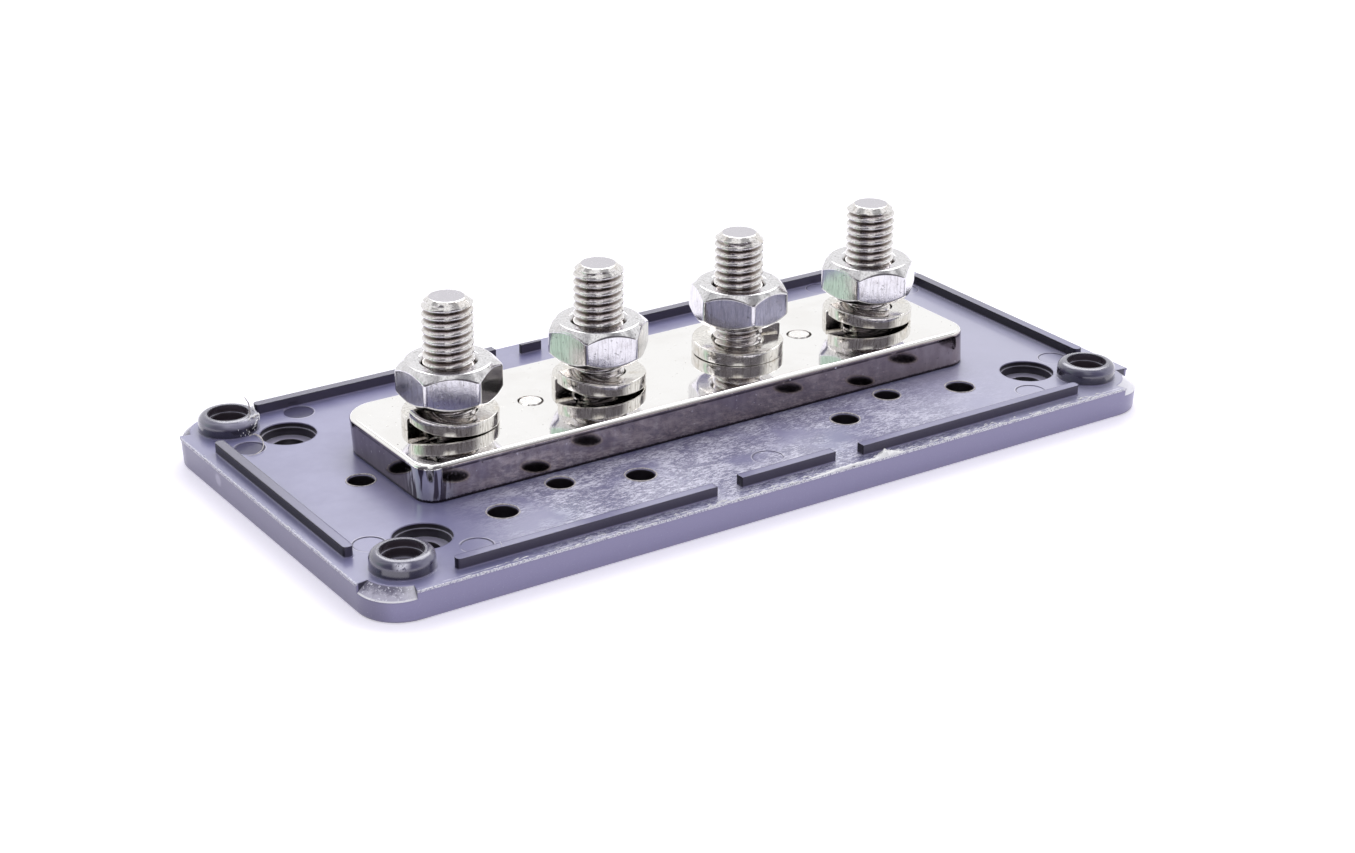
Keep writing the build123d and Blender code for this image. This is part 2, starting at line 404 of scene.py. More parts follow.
def strand(path, thick):
    """Tapered hair, flattened a little, along a smooth path of points."""
    sides = 6
    steps = 14
    tip = 0.015
    flatness = 0.6
    points = [Vector(p) for p in path]
    points = [points[0]] + points + [points[-1]]
    line = []
    for i in range(1, len(points) - 2):
        for s in range(steps):
            line.append(curve_point(*points[i - 1:i + 3], s / steps))
    line.append(points[-1])
    rings = []
    for i, q in enumerate(line):
        ahead = (line[min(i + 1, len(line) - 1)] - line[max(i - 1, 0)]).normalized()
        u = ahead.orthogonal().normalized()
        v = ahead.cross(u)
        r = thick * (1 - i / (len(line) - 1)) ** 0.6 + tip
        ring = []
        for k in range(sides):
            a = FULL_TURN * k / sides
            ring.append(tuple(q + u * (r * math.cos(a)) + v * (flatness * r * math.sin(a))))
        rings.append(ring)
    return capped(rings)


def sliver(rnd, place, along, length, thick):
    """One torn chip, pointed at both ends and slightly bent."""
    sides = 5
    steps = 6
    fifth_turn_rad = 1.2566
    along = Vector(along).normalized()
    side = along.orthogonal().normalized()
    rise = along.cross(side)
    bend = Vector((rnd.uniform(-1, 1), rnd.uniform(-1, 1), rnd.uniform(0, 1))) * 0.12 * length
    rings = []
    for i in range(steps + 1):
        t = i / steps
        r = thick * math.sin(math.pi * (0.08 + 0.84 * t)) * rnd.uniform(0.7, 1.3)
        q = Vector(place) + along * (length * (t - 0.5)) + bend * math.sin(math.pi * t)
        ring = []
        for k in range(sides):
            a = fifth_turn_rad * k
            flat = rnd.uniform(0.6, 1.2)
            ring.append(tuple(q + side * (r * math.cos(a)) + rise * (r * flat * math.sin(a))))
        rings.append(ring)
    return capped(rings)


def gather(name, parts, mat):
    """One object from several small shapes, kept inside the plate's outline."""
    left_stop = LEFT_X + 0.02
    front_stop = FRONT_Y + 0.02
    verts, faces = [], []
    for points, more in parts:
        kept = [(max(v[0], left_stop), max(v[1], front_stop), v[2]) for v in points]
        add_shape(verts, faces, (kept, more))
    obj = make(name, verts, faces, mat)
    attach(obj, "base")


def edge_chips(mat):
    """Chips along the top edges, thickest right of the middle of the front."""
    chip_y = FRONT_Y + 0.13
    chip_x = LEFT_X + 0.1
    lip_share = 0.6
    lip_breadth = 0.25
    heavy_x = 30
    heavy_reach = 45
    front_span = (-74, 76)
    front_tries = 520
    left_span = (-33, 32)
    left_chips = 46
    rnd = random.Random(11)
    parts = []
    for _ in range(front_tries):
        x = rnd.uniform(*front_span)
        heavy = math.exp(-((x - heavy_x) / heavy_reach) ** 2)
        if rnd.random() > 0.25 + 0.75 * heavy:
            continue
        inward = rnd.random() * lip_breadth if rnd.random() < lip_share else rnd.gauss(0.95, 0.22)
        place = (x, chip_y + inward, BASE_TOP)
        along = (1, rnd.uniform(-0.2, 0.2), 0)
        length = rnd.uniform(0.4, 1.9)
        parts.append(sliver(rnd, place, along, length, rnd.uniform(0.04, 0.12)))
    for _ in range(left_chips):
        y = rnd.uniform(*left_span)
        place = (chip_x + rnd.random() ** 2 * 0.5, y, BASE_TOP)
        along = (rnd.uniform(-0.1, 0.1), 1, 0)
        length = rnd.uniform(0.5, 2.2)
        parts.append(sliver(rnd, place, along, length, rnd.uniform(0.03, 0.06)))
    parts.append(strand([(-63.0, -41.9, 7.9), (-63.1, -42.0, 8.7), (-63.4, -42.0, 9.2)], 0.09))
    gather("edge_chips", parts, mat)


def torn_sheet():
    """Ragged raised strip with a lump near its right end and a low flap in its middle."""
    left, right = 1.5, 24.0
    lump_reach = 2.3
    flap_x, flap_reach = 11.0, 5.5
    front_stop = FRONT_Y + 0.01
    steps = 90
    rows = 16
    verts, faces = [], []
    for i in range(steps + 1):
        x = left + (right - left) * i / steps
        lump = math.exp(-((x - TORN_LUMP_X) / lump_reach) ** 2)
        flap = math.exp(-((x - flap_x) / flap_reach) ** 4)
        ends = min(1.0, (x - left) * 0.7, (right - x) * 0.7)
        width = 0.30 + 1.6 * lump + 0.6 * flap
        middle = -45.0 + 0.75 * lump + 0.12 * noise.noise(Vector((x * 0.9, 3.0, 0)))
        for j in range(rows + 1):
            v = 2 * j / rows - 1
            ragged = 1 + 0.4 * noise.noise(Vector((x * 1.7, v * 2, 8.0)))
            y = max(middle + v * width * ragged, front_stop)
            coarse = abs(noise.noise(Vector((x * 1.6, y * 2.2, 1.5))))
            rough = coarse + 0.5 * abs(noise.noise(Vector((x * 4.1, y * 5.0, 4.5))))
            crown = 0.16 * flap + 0.14 + 1.3 * lump * rough + 0.35 * flap * rough
            height = crown * (1 - v * v) - 0.04
            verts.append((x, y, BASE_TOP + height * ends))
    for i in range(steps):
        for j in range(rows):
            a = i * (rows + 1) + j
            faces.append((a, a + rows + 1, a + rows + 2, a + 1))
    return verts, faces


def torn_edge(mat):
    """Raised ragged scar on the front edge, with a flap that trails off to the left."""
    chips = 60
    rnd = random.Random(23)
    parts = [torn_sheet()]
    for _ in range(chips):
        place = (rnd.gauss(TORN_LUMP_X, 1.3), rnd.uniform(-45.0, -43.7), BASE_TOP + 0.15)
        along = (1, rnd.uniform(-1, 1), rnd.uniform(0, 0.6))
        length = rnd.uniform(0.5, 1.4)
        parts.append(sliver(rnd, place, along, length, rnd.uniform(0.05, 0.12)))
    gather("torn_front_edge", parts, mat)


def boss_flash(chips, hairs):
    """Moulding flash left on the rear left boss, and a hair round the mark beside it."""
    wall_r = 5.95
    round_r = 4.9
    top_z = 9.28
    rim_chips = 34
    wall_chips = 9
    gather("boss_hairs", [
        strand([(-75.6, 32.9, 8.9), (-75.7, 32.7, 10.3), (-76.0, 32.5, 11.8), (-76.8, 32.5, 13.2)], 0.28),
        strand([(-76.6, 31.4, 9.0), (-76.3, 31.5, 9.8), (-76.5, 31.6, 10.5)], 0.16),
        strand([(-75.9, 31.3, 8.7), (-75.0, 30.9, 9.5), (-74.6, 30.6, 9.3)], 0.15),
        strand([
            (-76.3, 29.8, 6.2), (-76.2, 27.4, 6.5), (-76.9, 24.5, 6.4),
            (-78.4, 22.0, 6.3), (-80.3, 21.0, 6.2), (-81.8, 21.5, 6.1),
        ], 0.16),
        strand([(-77.5, 29.4, 6.3), (-76.7, 28.6, 6.7), (-76.4, 26.0, 6.4), (-77.2, 24.0, 6.2)], 0.13),
    ], hairs)
    rnd = random.Random(3)
    parts = []
    for _ in range(rim_chips):
        a = math.radians(rnd.uniform(-68, -8))
        r = rnd.uniform(5.0, wall_r)
        z = top_z - max(0, r - round_r) ** 2 * 1.4 - rnd.random() ** 3 * 1.2
        place = (-BOSS_X + r * math.cos(a), BOSS_Y + r * math.sin(a), z)
        along = (-math.sin(a), math.cos(a), rnd.uniform(-0.5, 0.8))
        length = rnd.uniform(0.5, 1.7)
        parts.append(sliver(rnd, place, along, length, rnd.uniform(0.08, 0.22)))
    for _ in range(wall_chips):
        a = math.radians(rnd.uniform(-100, -50))
        z = rnd.uniform(6.4, 8.2)
        place = (-BOSS_X + wall_r * math.cos(a), BOSS_Y + wall_r * math.sin(a), z)
        parts.append(sliver(rnd, place, (0, 0, 1), rnd.uniform(0.2, 0.5), 0.09))
    gather("boss_flash", parts, chips)


# Materials

class Mat:
    """Small helper for a node material; lengths in its textures are millimetres."""

    def __init__(self, name):
        self.mat = bpy.data.materials.new(name)
        self.mat.use_nodes = True
        self.tree = self.mat.node_tree
        self.shader = self.tree.nodes["Principled BSDF"]
        coord = self.node("ShaderNodeTexCoord")
        ins = {0: coord.outputs["Object"], "Scale": 1 / MM}
        self.pos = self.node("ShaderNodeVectorMath", ins, operation="SCALE").outputs[0]

    def node(self, kind, ins=None, **props):
        """One more node in this material."""
        return new_node(self.tree, kind, ins, **props)

    def set(self, **ins):
        """Values or links for the shader, with the spaces of its inputs' names as underscores."""
        for key, value in ins.items():
            put(self.tree, self.shader, key.replace("_", " "), value)

    def noise(self, scale, detail, rough, stretch=None, offset=0.0):
        """Noise with so many lumps a millimetre; offset picks another place of the pattern."""
        vec = self.pos
        if stretch:
            vec = self.node("ShaderNodeVectorMath", {0: vec, 1: stretch}, operation="MULTIPLY").outputs[0]
        if offset:
            away = (offset, offset * 0.7, -offset)
            vec = self.node("ShaderNodeVectorMath", {0: vec, 1: away}, operation="ADD").outputs[0]
        ins = {"Vector": vec, "Scale": scale, "Detail": detail, "Roughness": rough}
        return self.node("ShaderNodeTexNoise", ins).outputs["Fac"]

    def span(self, value, lo, hi, a=0.0, b=1.0):
        """Smooth step from a to b while the value goes from lo to hi."""
        return smooth_step(self.tree, value, lo, hi, a, b)

    def math(self, op, a, b=0.0):
        """One operation on two sockets or numbers."""
        return self.node("ShaderNodeMath", {0: a, 1: b}, operation=op).outputs[0]

    def mix(self, fac, a, b):
        """Colour a where the factor is 0 and colour b where it is 1."""
        return blend(self.tree, fac, a, b)

    def bump(self, height, strength, distance, normal=None):
        """Normal bent by a height, on top of another normal where one is given."""
        n = self.node("ShaderNodeBump", {"Height": height, "Strength": strength, "Distance": distance * MM})
        if normal is not None:
            put(self.tree, n, "Normal", normal)
        return n.outputs[0]

    def axis(self, index):
        """The place's x, y or z."""
        return self.node("ShaderNodeSeparateXYZ", {0: self.pos}).outputs[index]

    def facing(self, index):
        """The x, y or z of the direction that the surface faces."""
        normal = self.node("ShaderNodeNewGeometry").outputs["Normal"]
        return self.node("ShaderNodeSeparateXYZ", {0: normal}).outputs[index]

    def ring(self, x, y):
        """Length of a level vector."""
        flat = self.node("ShaderNodeCombineXYZ", {0: x, 1: y}).outputs[0]
        return self.node("ShaderNodeVectorMath", {0: flat}, operation="LENGTH").outputs["Value"]

    def stud_radius(self):
        """Distance from the nearest stud's axis."""
        half_gap = STUD_X[2]
        x = self.math("ADD", self.axis(0), half_gap)
        x = self.node("ShaderNodeMath", {0: x, 1: half_gap, 2: -half_gap}, operation="WRAP").outputs[0]
        return self.ring(x, self.axis(1))

    def screw_radius(self):
        """Distance from the nearest bar screw's axis."""
        x = self.math("SUBTRACT", self.math("ABSOLUTE", self.axis(0)), SCREW_X)
        return self.ring(x, self.axis(1))

    def all_of(self, *masks):
        """Product of masks and plain strengths."""
        out = masks[0]
        for mask in masks[1:]:
            out = self.math("MULTIPLY", out, mask)
        return out

    def band(self, value, start, full, fade, end):
        """One between full and fade, nothing before start and beyond end."""
        return self.all_of(self.span(value, start, full), self.span(value, end, fade))

    def near(self, point, radius, soft):
        """One close to a point, falling to nothing beyond it."""
        gap = self.node("ShaderNodeVectorMath", {0: self.pos, 1: point}, operation="DISTANCE")
        return self.span(gap.outputs["Value"], radius + soft, radius)


def put(tree, n, key, value):
    """Links a socket to a node's input, or sets the input's value."""
    if isinstance(value, bpy.types.NodeSocket):
        tree.links.new(value, n.inputs[key])
    else:
        n.inputs[key].default_value = value


def new_node(tree, kind, ins=None, **props):
    """Node of one kind, with its settings and then its inputs."""
    n = tree.nodes.new(kind)
    for key, value in props.items():
        setattr(n, key, value)
    for key, value in (ins or {}).items():
        put(tree, n, key, value)
    return n


def smooth_step(tree, value, lo, hi, a=0.0, b=1.0):
    """Goes from a to b while the value goes from lo to hi."""
    ins = {"Value": value, "From Min": lo, "From Max": hi, "To Min": a, "To Max": b}
    return new_node(tree, "ShaderNodeMapRange", ins, interpolation_type="SMOOTHSTEP").outputs["Result"]


def blend(tree, fac, a, b):
    """Mix of two colours, each a socket or three plain numbers."""
    factor_in, first_in, second_in, colour_out = 0, 6, 7, 2
    n = new_node(tree, "ShaderNodeMix", data_type="RGBA")
    put(tree, n, factor_in, fac)
    for index, value in ((first_in, a), (second_in, b)):
        if not isinstance(value, bpy.types.NodeSocket):
            value = (*value, 1.0)
        put(tree, n, index, value)
    return n.outputs[colour_out]


def shade(tone, share):
    """The same hue, darker."""
    return tuple(c * share for c in tone)


def nickel(name, bright, stain, rough, grain, wave):
    """Bright nickel with brushed streaks and dents; returns the helper, its colour and its fine noise."""
    m = Mat(name)
    patches = m.span(m.noise(0.35, 4.0, 0.6), 0.48, 0.75)
    fine = m.noise(4.0, 4.0, 0.7)
    specks = m.span(m.noise(7.0, 2.0, 0.5, offset=9.0), 0.70, 0.78)
    brush = m.noise(2.4, 4.0, 0.75, stretch=(1.0, 1.0, 0.12), offset=27.0)
    dents = m.noise(1.3, 2.0, 0.5, offset=64.0)
    colour = m.mix(patches, bright, stain)
    colour = m.mix(m.math("MULTIPLY", specks, 0.5), colour, shade(stain, 0.45))
    colour = m.mix(m.span(brush, 0.44, 0.64, 0.0, 0.5), colour, shade(stain, 0.55))
    colour = m.mix(m.span(dents, 0.66, 0.72, 0.0, 0.6), colour, shade(stain, 0.4))
    uneven = m.math("ADD", fine, m.math("MULTIPLY", patches, 0.3))
    m.set(Base_Color=colour, Metallic=1.0, Roughness=m.span(uneven, 0.3, 1.0, rough, rough + 0.14))
    skin = m.bump(m.noise(0.5, 2.0, 0.5, offset=3.0), wave, 0.05)
    skin = m.bump(m.math("ADD", brush, m.span(dents, 0.64, 0.72, 0.0, -1.0)), wave, 0.02, skin)
    m.set(Normal=m.bump(m.math("ADD", fine, m.math("MULTIPLY", specks, -1.5)), grain, 0.02, skin))
    return m, colour, fine


def paint_core_shade(m, colour, fine, core_r, clear_r, tone, strength):
    """Paints shade on nickel towards the studs' axes, in thread roots and nut bores, less beside the
    washers; the tips are grey discs.
    """
    washer_z, nut_z = 17.5, 18.5
    # Painted shade: darker towards the axes, weaker beside the washers.
    inner = m.span(m.stud_radius(), clear_r, core_r, 0.0, strength)
    inner = m.math("MULTIPLY", inner, m.span(m.axis(2), washer_z, nut_z, 0.35, 1.0))
    below_tip = m.span(m.axis(2), TIP_Z - 1.2, TIP_Z - 1.7)
    colour = m.mix(m.math("MULTIPLY", inner, below_tip), colour, tone)
    disc = m.span(m.stud_radius(), TIP_R - 0.03, TIP_R - 0.23)
    disc = m.all_of(disc, m.span(m.axis(2), TIP_Z - 0.2, TIP_Z - 0.1), m.span(fine, 0.2, 0.6, 0.6, 1.0))
    tip_grey = (0.60, 0.58, 0.63)
    m.set(Base_Color=m.mix(disc, colour, tip_grey))


def stud_nickel():
    """Nickel of the studs, with painted shade in the thread's roots."""
    bright, stain = (0.86, 0.84, 0.84), (0.76, 0.71, 0.66)
    m, colour, fine = nickel("stud_nickel", bright, stain, rough=0.07, grain=0.22, wave=0.2)
    paint_core_shade(m, colour, fine, core_r=4.2, clear_r=4.7, tone=(0.17, 0.13, 0.11), strength=0.85)
    return m.mat


def nut_nickel():
    """Nickel of the nuts, with painted shade in their bores."""
    bright, stain = (0.79, 0.78, 0.80), (0.70, 0.68, 0.69)
    m, colour, fine = nickel("nut_nickel", bright, stain, rough=0.09, grain=0.22, wave=0.25)
    paint_core_shade(m, colour, fine, core_r=5.0, clear_r=5.5, tone=(0.20, 0.17, 0.15), strength=0.8)
    return m.mat


def washer_nickel():
    """Warmer nickel of the spring washers."""
    bright, stain = (0.83, 0.81, 0.78), (0.72, 0.67, 0.60)
    return nickel("washer_nickel", bright, stain, rough=0.08, grain=0.30, wave=0.3)[0].mat


def screw_steel():
    """Pale screw end with a dark uneven rim."""
    m = Mat("bar_screw_steel")
    fine = m.noise(3.0, 3.0, 0.6)
    edge = m.span(m.math("ADD", m.screw_radius(), m.math("MULTIPLY", fine, 0.7)), 2.45, 2.7)
    m.set(Base_Color=m.mix(edge, (0.90, 0.88, 0.86), (0.30, 0.26, 0.24)), Metallic=1.0)
    m.set(Roughness=m.span(fine, 0.3, 0.7, 0.10, 0.22))
    m.set(Normal=m.bump(m.noise(0.9, 3.0, 0.6), 0.6, 0.15))
    return m.mat


# Tones of the plated bar, most of its side tones painted reflection, highlight and shadow, and heights of
# the painted dark reflection line in its sides
BAR_CLEAR = (0.94, 0.93, 0.92)
BAR_HAZE = (0.90, 0.885, 0.87)
BAR_PIT = (0.16, 0.13, 0.11)
BAR_RIM = (0.14, 0.11, 0.09)
# Painted reflection and shade on the bar's sides, all but the nicks
BAR_SIDE_REFLECTION_DEEP = (0.46, 0.40, 0.40)
BAR_SIDE_REFLECTION_PALE = (0.62, 0.56, 0.55)
BAR_SIDE_DARK_REFLECTION = (0.20, 0.16, 0.17)
BAR_LEFT_END_SHADE = (0.13, 0.11, 0.14)
BAR_EDGE_REFLECTION_LINE = (0.06, 0.05, 0.06)
BAR_CORNER_REFLECTION = (0.08, 0.07, 0.08)
BAR_CORNER_HIGHLIGHT = (0.80, 0.80, 0.76)
BAR_NICK = (0.95, 0.93, 0.92)
BAR_FOOT_SHADOW = (0.04, 0.03, 0.04)
EDGE_REFLECTION_Z = (12.10, 12.25, 12.5, 12.65)


def bar_wall_reflections(m, fine):
    """Colour of the bar's sides, painted reflection and shade with pale nicks: mottled, darker between x -55
    and 66 and on the left end, a dark line under the top edge, a dark front left corner with bright lines,
    and a painted shadow line at the foot.
    """
    x, z = m.axis(0), m.axis(2)
    # Painted reflection: the sides mirror the dark base, mottled between two tones.
    mottle = m.span(m.noise(0.45, 3.0, 0.6, stretch=(1, 1, 0.4), offset=2.0), 0.35, 0.7)
    wall = m.mix(mottle, BAR_SIDE_REFLECTION_DEEP, BAR_SIDE_REFLECTION_PALE)
    # Painted reflection: darker between x -55 and 66.
    dark_reflection = m.all_of(m.span(x, -55.0, 5.0), m.span(x, 66.0, 40.0, 0.40, 0.62))
    wall = m.mix(dark_reflection, wall, BAR_SIDE_DARK_REFLECTION)
    # Painted shade: faces turned to the left darker.
    wall = m.mix(m.span(m.facing(0), -0.35, -0.8, 0.0, 0.75), wall, BAR_LEFT_END_SHADE)

    # Painted reflection: a broken dark line under the rounded top edge.
    broken = m.span(m.noise(0.35, 2.0, 0.5, offset=21.0), 0.25, 0.45)
    edge_reflection_line = m.all_of(m.band(z, *EDGE_REFLECTION_Z), broken)
    wall = m.mix(m.math("MULTIPLY", edge_reflection_line, 0.8), wall, BAR_EDGE_REFLECTION_LINE)

    # Painted reflection and highlight: the front left corner darker, with bright vertical lines.
    corner = m.all_of(m.span(x, -57.5, -60.5), m.span(m.axis(1), -9.0, -13.0))
    corner_glint = m.span(m.noise(0.8, 2.0, 0.5, stretch=(1, 1, 0.12), offset=33.0), 0.45, 0.53)
    wall = m.mix(m.math("MULTIPLY", corner, 0.8), wall, BAR_CORNER_REFLECTION)
    wall = m.mix(m.math("MULTIPLY", corner, corner_glint), wall, BAR_CORNER_HIGHLIGHT)

    nicks = m.span(m.noise(1.7, 2.0, 0.5, offset=51.0), 0.70, 0.74)
    wall = m.mix(m.all_of(nicks, m.span(z, 8.0, 12.5, 0.3, 1.0)), wall, BAR_NICK)
    # Painted shadow: a dark line where the bar meets the base.
    above_foot = m.span(m.math("ADD", z, m.math("MULTIPLY", fine, 0.8)), 6.85, 7.15)
    return m.mix(above_foot, BAR_FOOT_SHADOW, wall)


def bar_plating():
    """Mirror plate with haze, pits and broken dark rims round the screw ends, and painted reflection and
    shade on its sides.
    """
    m = Mat("bar_nickel_plate")
    haze = m.span(m.noise(0.09, 3.0, 0.6), 0.40, 0.70)
    fine = m.noise(3.2, 3.0, 0.6)
    pits = m.span(m.noise(1.9, 2.0, 0.45, offset=17.0), 0.71, 0.76)
    side = m.span(m.facing(2), 0.6, 0.2)
    colour = m.mix(haze, BAR_CLEAR, BAR_HAZE)
    # The sides take their painted reflection and shade colours.
    colour = m.mix(side, colour, bar_wall_reflections(m, fine))
    colour = m.mix(m.math("MULTIPLY", pits, 0.8), colour, BAR_PIT)
    rim = m.span(m.math("ADD", m.screw_radius(), m.math("MULTIPLY", fine, 0.5)), 2.95, 2.8)
    broken = m.span(m.noise(0.5, 2.0, 0.5, offset=40.0), 0.45, 0.60, 0.15, 0.9)
    colour = m.mix(m.all_of(rim, broken), colour, BAR_RIM)
    m.set(Base_Color=colour, Metallic=1.0)
    m.set(Roughness=m.math("ADD", m.span(fine, 0.35, 0.75, 0.03, 0.08), m.math("MULTIPLY", side, 0.05)))
    wave = m.bump(m.noise(0.10, 2.0, 0.5, offset=5.0), 0.20, 0.20)
    pitted = m.math("ADD", m.math("MULTIPLY", fine, 0.2), m.math("MULTIPLY", pits, -1.0))
    m.set(Normal=m.bump(pitted, 0.22, 0.05, wave))
    return m.mat


# Tones of the moulding, many of them painted light: sheen, bounce light, shade, highlights and glints
TOP_SHEEN_DEEP = (0.205, 0.20, 0.375)
TOP_SHEEN_PALE = (0.28, 0.272, 0.47)
TOP_RIGHT_GLARE = (0.44, 0.435, 0.58)
SCUFF_PALE = (0.80, 0.79, 0.92)
SCUFF_DEEP = (0.11, 0.105, 0.20)
GROOVE_TONE = (0.045, 0.04, 0.09)
RIDGE_TONE = (0.62, 0.60, 0.74)
STAIN_TONE = (0.07, 0.065, 0.12)
WALL_BOUNCE_DEEP = (0.262, 0.24, 0.42)
WALL_BOUNCE_PALE = (0.285, 0.262, 0.445)
WALL_LEFT_SHADE = (0.165, 0.15, 0.26)
WALL_FLECK = (0.50, 0.48, 0.62)
SIDE_DEEP = (0.034, 0.029, 0.048)
SIDE_PALE = (0.050, 0.044, 0.070)
SIDE_LEFT_SHADE = (0.012, 0.010, 0.016)
SIDE_FRONT_LIGHT = (0.11, 0.10, 0.15)
RIB_TOP_FRONT = (0.22, 0.213, 0.37)
RIB_TOP_REAR = (0.12, 0.113, 0.18)
BOSS_TOP_TONE = (0.075, 0.07, 0.125)
BOSS_FOOT_SHADE = (0.012, 0.010, 0.018)
RIM_SHEEN = (0.11, 0.105, 0.185)
RIM_REAR_LEFT_SHEEN = (0.36, 0.35, 0.47)
RIM_LEFTWARD_SHADE = (0.035, 0.032, 0.06)
GLINT_TONE = (0.80, 0.79, 0.90)
WELL_SHADE = (0.012, 0.009, 0.012)
BORE_WALL = (0.055, 0.043, 0.055)
HOLE_LEDGE_LIGHT = (0.36, 0.34, 0.46)
SCOOP_DEEP = (0.13, 0.12, 0.19)
SCOOP_PALE = (0.50, 0.48, 0.60)
SCOOP_RIGHT_HIGHLIGHT = (0.93, 0.92, 0.99)
SCOOP_END_SHADE = (0.03, 0.027, 0.05)
LIP_HIGHLIGHT_INNER = (0.74, 0.73, 0.86)
LIP_HIGHLIGHT_OUTER = (0.95, 0.94, 1.0)

# Ejector marks of the moulding: places, radii of their groove and ridge, and the two darker ones
MARK_PLACES = [(64.2, 35.4), (79.8, 24.6)]
FRONT_MARK = (0.6, -32.8)
MARK_GROOVE = (2.75, 2.85, 2.98, 3.08)
MARK_RIDGE = (3.04, 3.10, 3.24, 3.32)
STAIN_PLACES = [(-64.2, 35.4), (-79.6, 24.8)]
STAIN_SOFT_R = 3.4
STAIN_R = 3.2


class BasePlastic(Mat):
    """Charcoal plastic with a satin skin, its tones lifted by painted sheen and bounce light and marked with
    painted shade and highlights: scuffed in the middle, glossy and darker on ribs and bosses.
    """

    def __init__(self):
        super().__init__("base_moulded_plastic")
        self.x, self.y, self.z = self.axis(0), self.axis(1), self.axis(2)
        self.ax = self.math("ABSOLUTE", self.x)
        self.ay = self.math("ABSOLUTE", self.y)
        self.tilt = self.facing(2)
        self.up = self.span(self.tilt, 0.75, 0.97)
        self.leftward = self.span(self.facing(0), -0.5, -0.9)
        self.raised = self.span(self.z, BASE_TOP + 0.05, BASE_TOP + 0.4)
        self.cloud = self.noise(0.05, 4.0, 0.6)
        self.grain = self.noise(1.6, 4.0, 0.65)
        self.fine = self.noise(6.0, 3.0, 0.6, offset=4.0)
        self.boss = self.from_point(BOSS_X, BOSS_Y)
        self.collar = self.span(self.boss, 6.3, 6.1)
        self.not_collar = self.span(self.collar, 1.0, 0.0)
        self.zone = self.scuffed_zone()
        self.scuff = self.scuffs()
        self.stain = self.stained_discs()
        self.scoop = self.scoop_floor()
        colour = self.mix(
            self.up,
            self.mix(self.raised, self.outer_wall(), self.rib_and_boss_side()),
            self.mix(self.raised, self.level_top(), self.rib_and_boss_top()),
        )
        colour = self.holes(colour)
        colour = self.corner_scoops(colour)
        colour = self.front_lip(colour)
        self.set(Base_Color=colour)
        self.polish()

    def from_point(self, px, py, mirrored=True):
        """Distance in plan from a place, or from the nearest of its four mirror images."""
        x = self.ax if mirrored else self.x
        y = self.ay if mirrored else self.y
        return self.ring(self.math("SUBTRACT", x, px), self.math("SUBTRACT", y, py))

    def scuffed_zone(self):
        """The worn part of the top, in front of the bar."""
        patchy = self.span(self.noise(0.07, 3.0, 0.6, offset=31.0), 0.30, 0.52)
        across = self.all_of(self.span(self.x, -66.0, -40.0), self.span(self.x, 72.0, 20.0))
        level = self.span(self.z, BASE_TOP + 0.3, BASE_TOP + 0.1)
        return self.all_of(across, self.span(self.y, -14.0, -20.0), level, patchy)

    def scuffs(self):
        """Fine streaks along the plate, gathered in clumps."""
        streaks = self.noise(2.6, 4.0, 0.9, stretch=(0.32, 1.0, 1.0), offset=12.0)
        clumps = self.math("MULTIPLY", self.noise(0.22, 3.0, 0.6, offset=45.0), 0.30)
        return self.span(self.math("ADD", streaks, clumps), 0.61, 0.74)

    def stained_discs(self):
        """The two darker ejector marks at the left."""
        rear, left = [self.from_point(px, py, mirrored=False) for px, py in STAIN_PLACES]
        uneven = self.math("ADD", self.math("MINIMUM", rear, left), self.math("MULTIPLY", self.cloud, 0.8))
        return self.span(uneven, STAIN_SOFT_R, STAIN_R)

    def scoop_floor(self):
        """The sloping floors of the scoops outside the corner bosses."""
        place = self.all_of(self.span(self.ax, 80.0, 80.4), self.span(self.ay, 36.2, 36.6))
        low = self.span(self.z, BASE_TOP - 0.05, BASE_TOP - 0.15)
        return self.all_of(place, low, self.span(self.tilt, 0.5, 0.7))

    def level_top(self):
        """The plate's top: its dark colour lifted by painted sheen, paler to the right by painted glare,
        with its scuffs and ejector marks.
        """
        # Painted sheen: the top's own near-black colour lifted to lavender.
        top = self.mix(self.span(self.cloud, 0.35, 0.68), TOP_SHEEN_DEEP, TOP_SHEEN_PALE)
        pale = self.all_of(self.zone, self.scuff, 0.85)
        top = self.mix(pale, top, SCUFF_PALE)
        between = self.all_of(self.zone, self.span(self.scuff, 0.5, 0.0, 0.0, 0.55))
        top = self.mix(between, top, SCUFF_DEEP)
        # Painted glare: paler towards the right end.
        top = self.mix(self.span(self.x, 30.0, 86.0, 0.0, 0.7), top, TOP_RIGHT_GLARE)
        marks = self.from_point(*FRONT_MARK, mirrored=False)
        for px, py in MARK_PLACES:
            marks = self.math("MINIMUM", marks, self.from_point(px, py))
        broken = self.span(self.noise(0.25, 1.0, 0.5, offset=60.0), 0.40, 0.48)
        groove = self.all_of(self.band(marks, *MARK_GROOVE), broken, 0.85)
        top = self.mix(groove, top, GROOVE_TONE)
        ridge = self.all_of(self.band(marks, *MARK_RIDGE), broken, 0.7)
        top = self.mix(ridge, top, RIDGE_TONE)
        return self.mix(self.math("MULTIPLY", self.stain, 0.85), top, STAIN_TONE)

    def outer_wall(self):
        """The plate's outer wall, lifted by painted bounce light from the floor and darker to the left by
        painted shade, with pale flecks and one rubbed place.
        """
